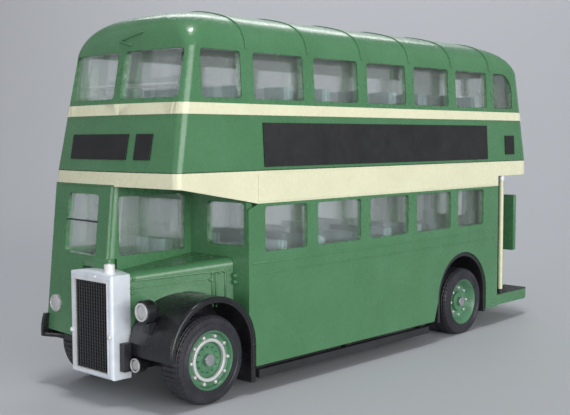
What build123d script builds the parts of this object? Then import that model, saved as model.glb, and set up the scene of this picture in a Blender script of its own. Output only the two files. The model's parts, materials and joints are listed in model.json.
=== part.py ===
from build123d import *
import os

# Double-deck half-cab bus model, 1:76. Millimetres; front faces -Y, nearside +X, z = 0 at the tyres' foot.
os.makedirs("parts", exist_ok=True)

# Driving sizes of the body castings
half_width = 15.05      # body sides below the joint
front_y = -48.3         # front corner at the joint between the castings
rear_y = 51.7
front_bow = 1.1         # the front stands out this far at its middle
wall = 1.2              # thickness of both castings
joint_z = 34.6          # upper casting sits on the lower one here
skirt_z = 4.3           # lower edge of the saloon sides
fit = 0.05              # gap round a piece that drops into a casting

# Levels of the upper casting: z, half width, front y, rear y, front corner radius, rear corner radius
side_levels = [
    (joint_z, half_width, front_y, rear_y, 1.2, 3.0),
    (53.0, 14.0, -44.9, 49.6, 1.5, 3.6),
]
roof_levels = [
    side_levels[1],
    (54.9, 13.6, -44.4, 48.7, 2.6, 4.4),
    (56.6, 12.5, -43.5, 46.9, 4.0, 5.2),
    (58.0, 10.4, -41.7, 43.6, 5.0, 5.6),
    (59.0, 7.0, -38.2, 38.6, 4.6, 4.6),
    (59.6, 2.0, -31.0, 30.5, 1.5, 1.5),
]

# Windows
pillar_y = -33.46       # middle of the first full pillar
bay = 13.97             # from pillar to pillar
pillar = 2.58           # pillar width
bays = 5
upper_sill, upper_head = 45.6, 52.7
lower_sill, lower_head = 22.0, 29.1
corner = 0.6            # corner radius of the window openings

# Lower casting
band_z = 29.6           # lower edge of the cream band along the saloon
bulkhead_y = -34.2      # front face of the saloon bulkhead
side_end = 38.8         # the nearside panel stops here for the platform
rear_band_z = 31.6      # lower edge of the band above the platform
front_band_z = 32.7     # lower edge of the band at the front
rear_wall_end = 8.9     # nearside end of the rear wall
cab_side = 1.6          # nearside face of the cab
cab_floor = 9.0
cab_lean = 0.103        # the cab front comes forward this much for each mm down

# Radiator
radiator_x, radiator_w, radiator_depth = -0.4, 10.4, 3.5
radiator_y = -52.5
radiator_z0, radiator_z1 = 3.9, 20.0

# Wheels
wheelbase = 68.3
front_axle_y = -41.7
rear_axle_y = front_axle_y + wheelbase
tyre_r = 6.72
axle_z = tyre_r
tyre_w = 3.9
tyre_face = 14.6        # outer face of the tyres
rim_r = 4.5
axle_r = 0.9
axle_gap = 0.06         # running clearance of an axle in its bearing
twin_in = 7.6           # inner face of the twin rear tyres
arch_r = 8.7            # rear wheel arch
arch_y, arch_z = rear_axle_y - 0.8, axle_z + 1.4
wing_out = 8.5          # outer radius of the front mudguards
wing_t = 0.9            # thickness of the front mudguards
wing_y, wing_z = front_axle_y + 0.4, axle_z + 1.03


def plan(level, inset):
    """Horizontal section of the body, its front bowed, drawn inset from the outer face."""
    z, w, yf, yr, rf, rr = level
    w, yf, yr = w - inset, yf + inset, yr - inset
    with BuildSketch(Plane.XY.offset(z)) as outline:
        with BuildLine():
            ThreePointArc((-w, yf), (0, yf - front_bow), (w, yf))
            Polyline((w, yf), (w, yr), (-w, yr), (-w, yf))
        make_face()
        fillet(outline.vertices().group_by(Axis.Y)[-1], max(rr - inset, 0.5))
        fillet(outline.vertices().filter_by(lambda v: abs(v.Y - yf) < 0.01), max(rf - inset, 0.4))
    return outline.sketch


def at_height(z):
    """Level of the upper casting's sides between the joint and the cantrail."""
    low, high = side_levels
    t = (z - low[0]) / (high[0] - low[0])
    return tuple(a + (b - a) * t for a, b in zip(low, high))


roof_drop = 0.9         # the ceiling lies this far under the roof's own levels


def lowered(level, drop):
    return (level[0] - drop, *level[1:])


def side_form(z0, z1, inset, mode=Mode.ADD):
    loft([plan(at_height(z0), inset), plan(at_height(z1), inset)], ruled=True, mode=mode)


def straight_form(z0, z1, inset, mode=Mode.ADD):
    extrude(plan((z0, *side_levels[0][1:]), inset), amount=z1 - z0, mode=mode)


# Window openings by row: y start, y end
upper_bays = [(-42.9, pillar_y - pillar / 2)]
upper_bays += [(pillar_y + bay * i + pillar / 2, pillar_y + bay * (i + 1) - pillar / 2) for i in range(bays)]
quarter_light = (pillar_y + bay * bays + pillar / 2, 45.2)
lower_bays = [(pillar_y + bay * i + pillar / 2, pillar_y + bay * (i + 1) - pillar / 2) for i in range(bays)]
lower_bays[0] = (-30.6, lower_bays[0][1])
lower_bays[-1] = (lower_bays[-1][0], 33.1)


def side_openings(rows, sill, head, shrink, mode):
    """Openings through both sides, each drawn shrink smaller all round."""
    with BuildSketch(Plane.YZ.offset(-half_width - 1)) as lights:
        for y0, y1 in rows:
            with Locations(((y0 + y1) / 2, (sill + head) / 2)):
                RectangleRounded(y1 - y0 - 2 * shrink, head - sill - 2 * shrink, corner)
    extrude(lights.sketch, amount=2 * half_width + 2, mode=mode)


def quarter_openings(shrink, mode):
    """Rear quarter light, its upper rear corner rounded."""
    y0, y1 = quarter_light
    with BuildSketch(Plane.YZ.offset(-half_width - 1)) as light:
        with Locations(((y0 + y1) / 2, (upper_sill + upper_head) / 2)):
            Rectangle(y1 - y0 - 2 * shrink, upper_head - upper_sill - 2 * shrink)
        fillet(light.vertices().group_by(Axis.Y)[-1].sort_by(Axis.X)[-1], 4.0)
    extrude(light.sketch, amount=2 * half_width + 2, mode=mode)


front_light = (0.8, 13.2)   # each front window, from the middle outwards
rear_light = (0.5, 6.5)


def end_openings(y0, y1, pane, shrink, mode):
    x0, x1 = pane
    with BuildSketch(Plane.XZ.offset(-y1)) as lights:
        for side in (-1, 1):
            with Locations((side * (x0 + x1) / 2, (upper_sill + upper_head) / 2)):
                RectangleRounded(x1 - x0 - 2 * shrink, upper_head - upper_sill - 2 * shrink, corner)
    extrude(lights.sketch, amount=y1 - y0, mode=mode)


def upper_openings(shrink, mode, front_pane=front_light):
    side_openings(upper_bays, upper_sill, upper_head, shrink, mode)
    quarter_openings(shrink, mode)
    end_openings(-55, -38, front_pane, shrink, mode)
    end_openings(44, 55, rear_light, shrink, mode)


# Upper casting: between-decks panel, window pillars and the domed roof in one shell
with BuildPart() as upper_body:
    side_form(joint_z, side_levels[1][0], 0)
    loft([plan(level, 0) for level in roof_levels])
    side_form(joint_z, side_levels[1][0], wall, Mode.SUBTRACT)
    ceiling_levels = [roof_levels[0]] + [lowered(level, roof_drop) for level in roof_levels[1:-1]]
    loft([plan(level, wall) for level in ceiling_levels], mode=Mode.SUBTRACT)
    upper_openings(0, Mode.SUBTRACT)
upper_body.part.label = "upper_body"
export_step(upper_body.part, "parts/upper_body.step")

# Lower casting: saloon sides, bulkheads, cream band, canopy and the hollow cab
wing_x0 = 8.2           # inner edge of the front mudguards
wing_x1 = tyre_face + 0.3


def cab_plan(z, yf, inset):
    """Horizontal section of the cab, from its bowed front back to the bulkhead."""
    x0, x1 = -half_width + inset, cab_side - inset
    yf += inset
    with BuildSketch(Plane.XY.offset(z)) as outline:
        with BuildLine():
            ThreePointArc((x0, yf), ((x0 + x1) / 2, yf - 0.55), (x1, yf - 1.0))
            Polyline((x1, yf - 1.0), (x1, bulkhead_y + 0.1), (x0, bulkhead_y + 0.1), (x0, yf))
        make_face()
        fillet(outline.vertices().group_by(Axis.Y)[0], 1.0)
    return outline.sketch


def cab_form(z0, z1, inset, mode=Mode.ADD):
    rows = [(z, front_y - cab_lean * (front_band_z - z)) for z in (z0, z1)]
    loft([cab_plan(z, yf, inset) for z, yf in rows], ruled=True, mode=mode)


def wing_gap(x0, x1):
    """Clearance for a front mudguard, open down to the floor."""
    radius = wing_out + fit
    with BuildSketch(Plane.YZ.offset(x0)) as gap:
        with Locations((wing_y, wing_z)):
            Circle(radius)
        with Locations((wing_y, wing_z / 2)):
            Rectangle(2 * radius, wing_z)
    extrude(gap.sketch, amount=x1 - x0, mode=Mode.SUBTRACT)


def rear_arch(x0, x1):
    """Arch over a rear wheel, its front leg sloping outwards."""
    with BuildSketch(Plane.YZ.offset(x0)) as gap:
        with Locations((arch_y, arch_z)):
            Circle(arch_r)
        with BuildLine():
            left, right, foot = arch_y - arch_r, arch_y + arch_r, skirt_z - 1
            Polyline((left, arch_z), (left - 1.7, foot), (right, foot), (right, arch_z), (left, arch_z))
        make_face()
    extrude(gap.sketch, amount=x1 - x0, mode=Mode.SUBTRACT)


def light(x, z, w, h, y0, y1, mode):
    """Window opening running along Y from y0 to y1."""
    with BuildSketch(Plane.XZ.offset(-y1)) as opening:
        with Locations((x, z)):
            RectangleRounded(w, h, corner)
    extrude(opening.sketch, amount=y1 - y0, mode=mode)


def cab_openings(shrink, mode):
    """Windscreen, cab door window and the long window beside the bonnet."""
    light(-6.6, 26.4, 8.8 - 2 * shrink, 9.4 - 2 * shrink, -54, -47.5, mode)
    for x0, y0, y1 in ((-half_width - 1, -46.9, -36.6), (-0.6, -48.5, -35.4)):
        with BuildSketch(Plane.YZ.offset(x0)) as cab_light:
            with Locations(((y0 + y1) / 2, 26.4)):
                RectangleRounded(y1 - y0 - 2 * shrink, 9.0 - 2 * shrink, corner)
        extrude(cab_light.sketch, amount=3, mode=mode)


def bulkhead_openings(shrink, y0, y1, mode):
    light(9.8, 26.4, 8.4 - 2 * shrink, 6.6 - 2 * shrink, y0, y1, mode)
    light(-6.6, 26.4, 10.0 - 2 * shrink, 6.6 - 2 * shrink, y0, y1, mode)


def rear_opening(shrink, y0, y1, mode):
    light(-2.5, 25.4, 11.0 - 2 * shrink, 7.0 - 2 * shrink, y0, y1, mode)


with BuildPart() as lower_body:
    straight_form(skirt_z, joint_z, 0)
    straight_form(skirt_z - 1, joint_z + 1, wall, Mode.SUBTRACT)
    # Ahead of the bulkhead only the canopy stays, its lower edge sweeping down to the band
    with BuildSketch(Plane.YZ.offset(-half_width - 1)) as canopy:
        with BuildLine():
            Polyline((-53, skirt_z - 1), (-53, front_band_z), (-47.6, front_band_z - 0.4), (-34.4, 30.0),
                     (bulkhead_y + 2.1, band_z - 0.1), (bulkhead_y, band_z - 0.9),
                     (bulkhead_y, skirt_z - 1), (-53, skirt_z - 1))
        make_face()
    extrude(canopy.sketch, amount=2 * half_width + 2, mode=Mode.SUBTRACT)
    # Open platform at the rear nearside corner
    with BuildSketch(Plane.YZ.offset(rear_wall_end)) as doorway:
        with BuildLine():
            Polyline((side_end, skirt_z - 1), (side_end, rear_band_z), (rear_y + 1, rear_band_z),
                     (rear_y + 1, skirt_z - 1), (side_end, skirt_z - 1))
        make_face()
    extrude(doorway.sketch, amount=half_width, mode=Mode.SUBTRACT)
    # Front bulkhead beside the cab, rear bulkhead with its doorway, and the cab's shell
    with Locations((0, bulkhead_y + wall / 2, (cab_floor + 33.4) / 2)):
        Box(2 * half_width - 1, wall, 33.4 - cab_floor)
    with Locations((0, side_end - wall / 2, (9.0 + 33.4) / 2)):
        Box(2 * half_width - 1, wall, 33.4 - 9.0)
    with Locations((1.5, side_end - wall / 2, (9.0 + 29.0) / 2)):
        Box(11.0, wall + 1, 29.0 - 9.0, mode=Mode.SUBTRACT)
    cab_form(cab_floor, front_band_z + 0.1, 0)
    cab_form(cab_floor + wall, front_band_z + 0.2, wall, Mode.SUBTRACT)
    # Window openings
    side_openings(lower_bays, lower_sill, lower_head, 0, Mode.SUBTRACT)
    cab_openings(0, Mode.SUBTRACT)
    bulkhead_openings(0, bulkhead_y - 0.5, bulkhead_y + wall + 0.5, Mode.SUBTRACT)
    rear_opening(0, rear_y - wall - 0.5, rear_y + 0.5, Mode.SUBTRACT)
    # Recess for the radiator in the cab's front
    with Locations((radiator_x, radiator_y + (radiator_depth + fit) / 2, (radiator_z0 + radiator_z1 + 1.5) / 2)):
        Box(radiator_w + 2 * fit, radiator_depth + fit, radiator_z1 + 1.5 - radiator_z0, mode=Mode.SUBTRACT)
    # Wheel arches
    rear_arch(-half_width - 1, -wing_x0)
    rear_arch(wing_x0, half_width + 1)
    wing_gap(-half_width - 1, -wing_x0 + fit)
    wing_gap(wing_x0 - fit, half_width + 1)
lower_body.part.label = "lower_body"
export_step(lower_body.part, "parts/lower_body.step")

# Bonnet beside the cab: widens from the radiator to the bulkhead
bonnet_y = radiator_y + radiator_depth
bonnet_front_x = radiator_x + radiator_w / 2 - 0.2
bonnet_rear_x = 11.6
bonnet_x = cab_side + fit
with BuildPart() as bonnet:
    with BuildSketch(Plane.XY.offset(9.0)):
        with BuildLine():
            Polyline((bonnet_x, bonnet_y), (bonnet_front_x, bonnet_y), (bonnet_rear_x, bulkhead_y - fit),
                     (bonnet_x, bulkhead_y - fit), (bonnet_x, bonnet_y))
        make_face()
    extrude(amount=12.3)
    with BuildSketch(Plane.YZ.offset(-1)) as slope:
        with BuildLine():
            Polyline((bonnet_y - 1, 19.6), (bulkhead_y + 1, 21.3), (bulkhead_y + 1, 24), (bonnet_y - 1, 24),
                     (bonnet_y - 1, 19.6))
        make_face()
    extrude(slope.sketch, amount=18, mode=Mode.SUBTRACT)
    top_edges = bonnet.faces().sort_by(Axis.Z)[-1].edges().sort_by(Axis.X)[-1]
    fillet(top_edges, 1.2)
    wing_gap(wing_x0 - fit, half_width + 1)
bonnet.part.label = "bonnet"
export_step(bonnet.part, "parts/bonnet.step")

# Radiator: plated shell with a domed header, dark core and filler cap
with BuildPart() as radiator_shell:
    with BuildSketch(Plane.XZ.offset(-radiator_y)) as face:
        with BuildLine():
            x0, x1 = radiator_x - radiator_w / 2, radiator_x + radiator_w / 2
            ThreePointArc((x0, radiator_z1 - 0.5), (radiator_x, radiator_z1), (x1, radiator_z1 - 0.5))
            Polyline((x1, radiator_z1 - 0.5), (x1, radiator_z0), (x0, radiator_z0), (x0, radiator_z1 - 0.5))
        make_face()
    extrude(face.sketch, amount=-radiator_depth)
    fillet(radiator_shell.faces().sort_by(Axis.Y)[0].edges(), 0.45)
    with BuildSketch(Plane.XZ.offset(-radiator_y)) as mouth:
        with Locations((radiator_x, 11.6)):
            Rectangle(8.3, 13.6)
    extrude(mouth.sketch, amount=-2.2, mode=Mode.SUBTRACT)
radiator_shell.part.label = "radiator_shell"
export_step(radiator_shell.part, "parts/radiator_shell.step")

with BuildPart() as radiator_core:
    with Locations((radiator_x, radiator_y + 1.5, 11.6)):
        Box(8.3 - 2 * fit, 1.3, 13.6 - 2 * fit)
radiator_core.part.label = "radiator_core"
export_step(radiator_core.part, "parts/radiator_core.step")

with BuildPart() as filler_cap:
    with BuildSketch(Plane.XY.offset(radiator_z1)):
        with Locations((radiator_x, radiator_y + 1.5)):
            Circle(0.9)
    extrude(amount=1.0)
    fillet(filler_cap.edges().group_by(Axis.Z)[-1], 0.35)
filler_cap.part.label = "filler_cap"
export_step(filler_cap.part, "parts/filler_cap.step")


def front_wing(x0, x1, apron_x, apron_z):
    """Mudguard over a front wheel, its leg behind the wheel and its apron towards the radiator."""
    leg = wing_y + wing_out - wing_t / 2
    with BuildPart() as wing:
        for span, top in (((x0, x1), 30.0), (apron_x, apron_z)):
            with BuildSketch(Plane.YZ.offset(span[0])) as band:
                with Locations((wing_y, wing_z)):
                    Circle(wing_out)
                    Circle(wing_out - wing_t, mode=Mode.SUBTRACT)
                with Locations((wing_y, wing_z - 0.25 - wing_out)):
                    Rectangle(2 * wing_out + 1, 2 * wing_out, mode=Mode.SUBTRACT)
                if top < wing_z + wing_out:
                    with Locations((wing_y + 10, wing_z)):
                        Rectangle(33.5, 40, mode=Mode.SUBTRACT)
                    with Locations((wing_y, top + 10)):
                        Rectangle(40, 20, mode=Mode.SUBTRACT)
                else:
                    with Locations((leg, (wing_z + 1.9) / 2)):
                        Rectangle(wing_t, wing_z - 1.9)
            extrude(band.sketch, amount=span[1] - span[0])
    return wing


lamp_x, lamp_y, lamp_z, lamp_r = 8.9, -50.1, 14.4, 1.75

# Front mudguards; the nearside one carries a boss for the headlamp
with BuildPart() as front_wing_nearside:
    add(front_wing(wing_x0, wing_x1, (5.2, wing_x0), 13.0).part)
    with Locations((lamp_x, lamp_y + 1.5, lamp_z - 2)):
        Box(1.4, 1.6, 2.4)
    with Locations((lamp_x, lamp_y, lamp_z)):
        Cylinder(lamp_r + fit, 12, rotation=(90, 0, 0), mode=Mode.SUBTRACT)
front_wing_nearside.part.label = "front_wing_nearside"
export_step(front_wing_nearside.part, "parts/front_wing_nearside.step")
with BuildPart() as front_wing_offside:
    add(front_wing(-wing_x1, -wing_x0, (-wing_x0, -5.9), cab_floor - fit).part)
front_wing_offside.part.label = "front_wing_offside"
export_step(front_wing_offside.part, "parts/front_wing_offside.step")

# Base: floor plate, front frame and an axle block at each end
plate_z0, plate_z1 = 4.5, 5.5
with BuildPart() as base_plate:
    with Locations((0, (bulkhead_y + wall + side_end) / 2, (plate_z0 + plate_z1) / 2)):
        Box(2 * (half_width - wall - fit), side_end - bulkhead_y - wall - 2.6, plate_z1 - plate_z0)
    for side in (-1, 1):
        with Locations((side * (twin_in - 0.6 + 5), rear_axle_y - 0.6, 5)):
            Box(10.0, 2 * arch_r + 3.4, 3, mode=Mode.SUBTRACT)
    with Locations((0, -39.45, (plate_z0 + 7.2) / 2)):
        Box(7.6, 18.9, 7.2 - plate_z0)
    # Dumb iron beside the radiator's foot
    with Locations((4.9, -48.4, 6.3)):
        Box(2.2, 1.0, 1.8)
    with Locations((5.45, -49.5, 6.3)):
        Box(1.1, 2.4, 1.8)
    with Locations((5.45, -50.5, 7.3)):
        Box(1.1, 1.3, 4.2)
    for y in (front_axle_y, rear_axle_y):
        with Locations((0, y, 6.6)):
            Box(11.0, 3.6, 4.2)
        with Locations((0, y, axle_z)):
            Cylinder(axle_r + axle_gap, 12, rotation=(0, 90, 0), mode=Mode.SUBTRACT)
    for y in (-24.0, 14.0):
        with Locations((0, y, 5)):
            Cylinder(1.1, 3, mode=Mode.SUBTRACT)
base_plate.part.label = "base_plate"
export_step(base_plate.part, "parts/base_plate.step")

# Wheels, tyres and axles: end, axle y, inner tyre face, how deep the hub is dished, beads across
wheel_ends = [
    ("front", front_axle_y, tyre_face - tyre_w, 0.5, 1),
    ("rear", rear_axle_y, twin_in, 1.5, 2),
]


def wheel(inner, dish):
    """Wheel on the +X side, turned about its axle."""
    outer = tyre_face - 0.1
    with BuildPart() as rim:
        with BuildSketch(Plane.XZ) as half:
            with BuildLine():
                Polyline((inner, axle_r), (inner, rim_r), (outer, rim_r), (outer, rim_r - 0.5),
                         (outer - dish, rim_r - 1.3), (outer - dish, 1.9), (outer - dish + 0.6, 1.4),
                         (outer - dish + 0.6, axle_r), (inner, axle_r))
            make_face()
        revolve(half.sketch, Axis.X)
    return rim


def tyre(inner, count):
    """Tyre on the +X side, or twin tyres moulded as one with a groove between them."""
    width = (tyre_face - inner) / count
    with BuildPart() as ring:
        with BuildSketch(Plane.XZ) as half:
            for i in range(count):
                middle = inner + width * (i + 0.5)
                with Locations((middle, (tyre_r + rim_r) / 2)):
                    RectangleRounded(width, tyre_r - rim_r, 0.8)
            with Locations(((inner + tyre_face) / 2, rim_r + 0.5)):
                Rectangle(tyre_face - inner - 0.6, 1.0)
        revolve(half.sketch, Axis.X)
    return ring


for end, y, inner, dish, count in wheel_ends:
    for label, side in (("nearside", 1), ("offside", -1)):
        place = Plane((0, y, axle_z), x_dir=(side, 0, 0), z_dir=(0, 0, 1))
        for kind, source in (("wheel", wheel(inner, dish)), ("tyre", tyre(inner, count))):
            piece = source.part.moved(Location(place))
            piece.label = f"{end}_{kind}_{label}"
            export_step(piece, f"parts/{piece.label}.step")
    with BuildPart() as axle:
        with Locations((0, y, axle_z)):
            Cylinder(axle_r, 2 * (tyre_face - 0.3), rotation=(0, 90, 0))
    axle.part.label = f"{end}_axle"
    export_step(axle.part, f"parts/{end}_axle.step")


# Rear mudguards inside the arches
box_in = twin_in - 0.4      # inner edge of the mudguard over the twin tyres
box_out = half_width - 0.2
for label, side in (("nearside", 1), ("offside", -1)):
    with BuildPart() as rear_wing:
        with BuildSketch(Plane.YZ.offset(box_in if side > 0 else -box_out)) as band:
            with Locations((arch_y, arch_z)):
                Circle(arch_r - 0.1)
                Circle(arch_r - 0.8, mode=Mode.SUBTRACT)
            with Locations((arch_y, arch_z - 5)):
                Rectangle(20, 10, mode=Mode.SUBTRACT)
            for end in (-1, 1):
                with Locations((arch_y + end * (arch_r - 0.45), 6.0)):
                    Rectangle(0.7, 4.4)
        extrude(band.sketch, amount=box_out - box_in)
    rear_wing.part.label = f"rear_wing_{label}"
    export_step(rear_wing.part, f"parts/rear_wing_{label}.step")

# Life rails under the saloon sides
rail_y0, rail_y1 = -31.8, 14.4
for label, side in (("nearside", 1), ("offside", -1)):
    with BuildPart() as life_rail:
        with Locations((side * 14.3, (rail_y0 + rail_y1) / 2, 2.9)):
            Box(0.9, rail_y1 - rail_y0, 1.3)
        for y in (rail_y0 + 1.0, (rail_y0 + rail_y1) / 2, rail_y1 - 1.0):
            with Locations((side * 13.3, y, 3.4)):
                Box(1.1, 1.6, 2.2)
    life_rail.part.label = f"life_rail_{label}"
    export_step(life_rail.part, f"parts/life_rail_{label}.step")

# Rear platform and its pole
platform_z0, platform_z1 = 4.5, 6.6
platform_y1 = 52.5
inner_x = half_width - wall - fit
inner_rear = rear_y - wall - fit
with BuildPart() as platform:
    with BuildSketch(Plane.XY.offset(platform_z0)) as deck:
        with BuildLine():
            near_x = rear_wall_end + fit
            y0 = side_end + fit
            Polyline((-inner_x, y0), (half_width, y0), (half_width, platform_y1), (near_x, platform_y1),
                     (near_x, inner_rear), (-inner_x, inner_rear), (-inner_x, y0))
        make_face()
        fillet(deck.vertices().sort_by(Axis.X)[-1], 0.1)
        fillet(deck.vertices().filter_by(lambda v: v.X > 12 and v.Y > 50), 2.2)
        fillet(deck.vertices().filter_by(lambda v: v.X < -12 and v.Y > 50), 2.0)
    extrude(deck.sketch, amount=platform_z1 - platform_z0)
platform.part.label = "platform"
export_step(platform.part, "parts/platform.step")

pole_x, pole_y, pole_r = 14.1, 41.6, 0.5
with BuildPart() as platform_pole:
    with BuildSketch(Plane.XY.offset(platform_z1)):
        with Locations((pole_x, pole_y)):
            Circle(pole_r)
    extrude(amount=rear_band_z - platform_z1)
platform_pole.part.label = "platform_pole"
export_step(platform_pole.part, "parts/platform_pole.step")


def seat_rows(rows, z, sides):
    """Double seats: a squab and a raked back on a plinth, in rows given by their y."""
    for y in rows:
        for x, w in sides:
            with Locations((x, y, z + 2.6)):
                Box(w, 5.4, 5.2)
            with Locations((x, y + 2.2, z + 6.6)):
                Box(w, 1.2, 13.2)


# Saloon interiors: each floor is moulded in one with its seats
seat_pitch = 9.3
lower_floor_z = 9.0
with BuildPart() as lower_saloon:
    floor_y0, floor_y1 = wing_y + wing_out + 2 * fit, side_end - wall - fit
    with Locations((0, (floor_y0 + floor_y1) / 2, lower_floor_z + 0.5)):
        Box(2 * inner_x, floor_y1 - floor_y0, 1.0)
    for side in (-1, 1):
        with Locations((side * (box_in - fit + 4), arch_y, lower_floor_z + 4.1)):
            Box(8.0, 2 * arch_r, 8.2, mode=Mode.SUBTRACT)
        with Locations((side * (box_in - fit - 0.4), arch_y, lower_floor_z + 4.5)):
            Box(0.8, 2 * arch_r + 1.6, 9.0)
        with Locations((side * (box_in + 12.9) / 2, arch_y, lower_floor_z + 8.6)):
            Box(12.9 - box_in + 1.0, 2 * arch_r + 1.6, 0.8)
    seat_rows([-27 + seat_pitch * i for i in range(5)], lower_floor_z + 1, ((-8.0, 9.8), (8.0, 9.8)))
lower_saloon.part.label = "lower_saloon"
export_step(lower_saloon.part, "parts/lower_saloon.step")

upper_floor_z = 33.5
with BuildPart() as upper_saloon:
    level = (upper_floor_z, *side_levels[0][1:])
    extrude(plan(level, wall + fit), amount=1.1)
    seat_rows([-34 + seat_pitch * i for i in range(8)], upper_floor_z + 1.1, ((-7.4, 9.4), (7.4, 9.4)))
    with Locations((-9.0, 43.5, upper_floor_z + 0.5)):
        Box(7.5, 9.0, 3, mode=Mode.SUBTRACT)
upper_saloon.part.label = "upper_saloon"
export_step(upper_saloon.part, "parts/upper_saloon.step")

# Staircase from the platform, rising along the offside
steps = 8
rise = (upper_floor_z - platform_z1) / steps
with BuildPart() as staircase:
    for i in range(steps):
        with Locations((-9.3, inner_rear - 1.9 - 1.15 * i, platform_z1 + rise * (i + 0.5))):
            Box(7.6, 1.15 + 1.6, rise)
staircase.part.label = "staircase"
export_step(staircase.part, "parts/staircase.step")

# Clear mouldings: a liner behind each row of windows, its panes standing into the openings
liner = 0.6
glass_face = 0.25
back = wall + fit + liner
with BuildPart(mode=Mode.PRIVATE) as upper_zone:
    side_form(upper_sill - 0.7, 52.9, wall + fit)
    upper_openings(fit, Mode.ADD, (front_light[0], 12.6))
with BuildPart() as upper_glazing:
    side_form(upper_sill - 0.7, 52.9, glass_face)
    side_form(upper_sill - 1.7, 52.99, back, Mode.SUBTRACT)
    add(upper_zone.part, mode=Mode.INTERSECT)
upper_glazing.part.label = "upper_glazing"
export_step(upper_glazing.part, "parts/upper_glazing.step")

with BuildPart(mode=Mode.PRIVATE) as lower_zone:
    straight_form(lower_sill - 0.7, lower_head + 0.7, wall + fit)
    side_openings(lower_bays, lower_sill, lower_head, fit, Mode.ADD)
with BuildPart() as lower_glazing:
    straight_form(lower_sill - 0.7, lower_head + 0.7, glass_face)
    straight_form(lower_sill - 1.7, lower_head + 1.7, back, Mode.SUBTRACT)
    add(lower_zone.part, mode=Mode.INTERSECT)
    glazed_y0, glazed_y1 = bulkhead_y + wall + 2.2, 35.0
    with Locations((0, (glazed_y0 + glazed_y1) / 2, lower_sill)):
        Box(40, glazed_y1 - glazed_y0, 30, mode=Mode.INTERSECT)
lower_glazing.part.label = "lower_glazing"
export_step(lower_glazing.part, "parts/lower_glazing.step")

with BuildPart(mode=Mode.PRIVATE) as cab_zone:
    cab_form(21.2, 31.6, wall + fit)
    cab_openings(fit, Mode.ADD)
with BuildPart() as cab_glazing:
    cab_form(21.2, 31.6, glass_face)
    cab_form(20.2, 32.6, back, Mode.SUBTRACT)
    add(cab_zone.part, mode=Mode.INTERSECT)
    with Locations((0, -45.6, 26)):
        Box(40, 20.6, 20, mode=Mode.INTERSECT)
cab_glazing.part.label = "cab_glazing"
export_step(cab_glazing.part, "parts/cab_glazing.step")

with BuildPart() as bulkhead_glazing:
    bulkhead_openings(fit, bulkhead_y + 0.3, bulkhead_y + wall, Mode.ADD)
bulkhead_glazing.part.label = "bulkhead_glazing"
export_step(bulkhead_glazing.part, "parts/bulkhead_glazing.step")

with BuildPart() as rear_glazing:
    rear_opening(fit, rear_y - wall, rear_y - 0.3, Mode.ADD)
rear_glazing.part.label = "rear_glazing"
export_step(rear_glazing.part, "parts/rear_glazing.step")

# Blank boards on the between-decks panel
board = 0.2
for label, side in (("nearside", 1), ("offside", -1)):
    with BuildPart() as side_board:
        side_form(35.2, 42.0, -board)
        side_form(35.2, 42.0, 0, Mode.SUBTRACT)
        with BuildPart(mode=Mode.PRIVATE) as board_zone:
            with Locations((side * 15, 1.85, 38.6)):
                Box(4, 65.1, 6.8)
            with Locations((side * 15, 43.3, 38.0)):
                Box(4, 3.6, 3.9)
        add(board_zone.part, mode=Mode.INTERSECT)
    side_board.part.label = f"side_board_{label}"
    export_step(side_board.part, f"parts/side_board_{label}.step")

with BuildPart() as front_blinds:
    side_form(36.5, 40.3, -board)
    side_form(36.5, 40.3, 0, Mode.SUBTRACT)
    with BuildPart(mode=Mode.PRIVATE) as blind_zone:
        for x0, x1 in ((-10.4, 4.2), (6.0, 9.4)):
            with Locations(((x0 + x1) / 2, -49, 38.4)):
                Box(x1 - x0, 6, 6)
    add(blind_zone.part, mode=Mode.INTERSECT)
front_blinds.part.label = "front_blinds"
export_step(front_blinds.part, "parts/front_blinds.step")


def lamp(x, y, z, r, depth, rim, name):
    """Bowl lamp facing forward, its lens seated in the rim."""
    with BuildPart() as bowl:
        with BuildSketch(Plane.XZ.offset(-y)) as mouth:
            with Locations((x, z)):
                Circle(r)
        extrude(mouth.sketch, amount=-depth)
        fillet(bowl.faces().sort_by(Axis.Y)[-1].edges(), min(r, depth) * 0.7)
        with BuildSketch(Plane.XZ.offset(-y)) as seat:
            with Locations((x, z)):
                Circle(r - rim)
        extrude(seat.sketch, amount=-0.5, mode=Mode.SUBTRACT)
    bowl.part.label = f"{name}_bowl"
    with BuildPart() as lens:
        with BuildSketch(Plane.XZ.offset(-y - 0.5)) as disc:
            with Locations((x, z)):
                Circle(r - rim - 0.02)
        extrude(disc.sketch, amount=0.6)
        fillet(lens.faces().sort_by(Axis.Y)[0].edges(), 0.3)
    lens.part.label = f"{name}_lens"
    return bowl.part, lens.part


# Lamps: headlamp over the nearside mudguard, fog lamp below it, flush headlamp in the cab panel
lamps = [*lamp(lamp_x, lamp_y, lamp_z, lamp_r, 2.4, 0.6, "headlamp")]
lamps += [*lamp(7.2, -50.1, 6.3, 1.15, 1.9, 0.3, "fog_lamp")]
for piece in lamps:
    export_step(piece, f"parts/{piece.label}.step")
with BuildPart() as cab_headlamp:
    with BuildSketch(Plane.XZ.offset(51.6)) as disc:
        with Locations((-12.4, 13.4)):
            Circle(1.4)
    extrude(disc.sketch, amount=-1.4)
    fillet(cab_headlamp.faces().sort_by(Axis.Y)[0].edges(), 0.4)
    cab_form(cab_floor, front_band_z, 0, Mode.SUBTRACT)
cab_headlamp.part.label = "cab_headlamp"
export_step(cab_headlamp.part, "parts/cab_headlamp.step")

# Cab fittings
with BuildPart() as driver_seat:
    with Locations((-6.0, -37.6, (cab_floor + wall + 16.4) / 2)):
        Box(3.0, 3.4, 16.4 - cab_floor - wall)
    with Locations((-6.4, -38.0, 17.1)):
        Box(6.0, 5.0, 1.4)
    with Locations((-6.4, -36.0, 20.4)):
        Box(6.0, 1.2, 5.6)
driver_seat.part.label = "driver_seat"
export_step(driver_seat.part, "parts/driver_seat.step")

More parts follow.
